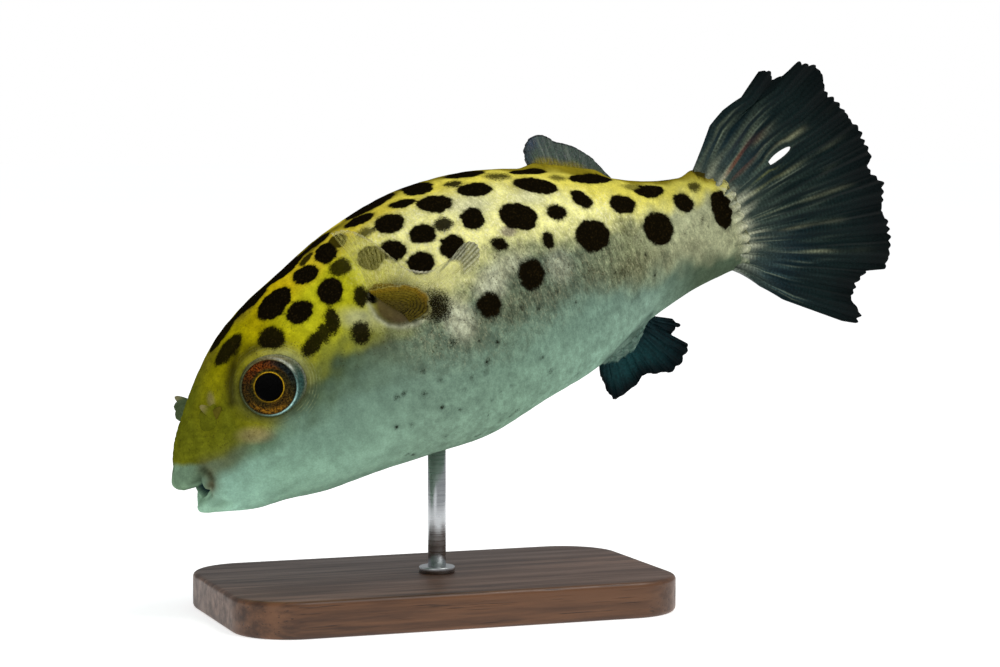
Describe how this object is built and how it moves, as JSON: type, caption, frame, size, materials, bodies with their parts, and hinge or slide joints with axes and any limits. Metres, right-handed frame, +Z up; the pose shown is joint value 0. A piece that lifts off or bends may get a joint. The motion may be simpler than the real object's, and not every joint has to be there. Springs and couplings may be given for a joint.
{
  "type": "green spotted pufferfish",
  "caption": "A still, life-size green spotted pufferfish swimming nose down, with fanned fins and a spotted yellow-green back, held by a steel rod over a flat walnut display base.",
  "frame": {"origin": "centre of the display base's underside, on the surface that it stands on", "axes": "+X towards the tail, the fish's long way, which rises at 22 degrees; +Y towards the fish's right side; +Z up"},
  "size_m": [0.1291, 0.0476, 0.0914],
  "materials": {
    "skin": "moist satin fish skin, yellow-green and black-spotted above, grey-teal below",
    "fin_dark": "thin blue-black fin membrane with paler segmented rays",
    "fin_smoke": "smoky translucent fin membrane on an olive foot",
    "fin_clear": "clear golden fin membrane with fine rays",
    "eye": "glossy, amber-brown iris with a gold ring round a black pupil",
    "stand_wood": "oiled dark walnut, satin",
    "stand_steel": "fine brushed steel"
  },
  "bodies": {
    "root": {"head": "skin", "trunk": "skin", "caudal_peduncle": "skin", "eye_left": "eye", "eye_right": "eye", "nasal_flap_left": "skin", "nasal_flap_right": "skin", "dorsal_fin": "fin_smoke", "anal_fin": "fin_dark", "caudal_fin": "fin_dark", "pectoral_fin_left": "fin_clear", "pectoral_fin_right": "fin_clear", "stand_base": "stand_wood", "stand_rod": "stand_steel"}
  },
  "joints": []
}
